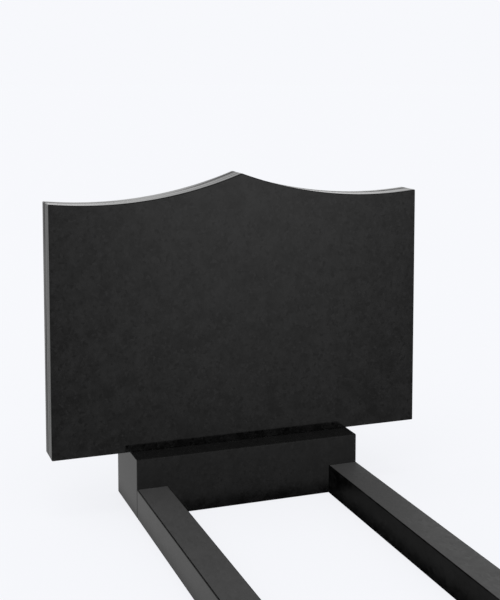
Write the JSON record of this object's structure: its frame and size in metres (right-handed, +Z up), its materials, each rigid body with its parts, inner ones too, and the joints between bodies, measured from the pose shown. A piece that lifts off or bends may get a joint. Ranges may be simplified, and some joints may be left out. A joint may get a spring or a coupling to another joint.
{
  "type": "headstone",
  "caption": "Upright polished granite slab with a peaked top of hollow sweeps, on a stand block with a kerb that frames a planting bed; marks a grave.",
  "frame": {"origin": "on the ground, in the middle of the set's overall width and depth", "axes": "+Z up; the inscription side of the slab faces -Y, towards the foot of the plot; +X is to the right of someone who reads the slab"},
  "size_m": [1, 1.2002, 0.8503],
  "materials": {
    "granite_polished": "polished",
    "granite_honed": "honed"
  },
  "bodies": {
    "root": {"slab": "granite_polished", "stand": "granite_polished", "kerb_left": "granite_honed", "kerb_right": "granite_honed", "kerb_front": "granite_honed"}
  },
  "joints": []
}
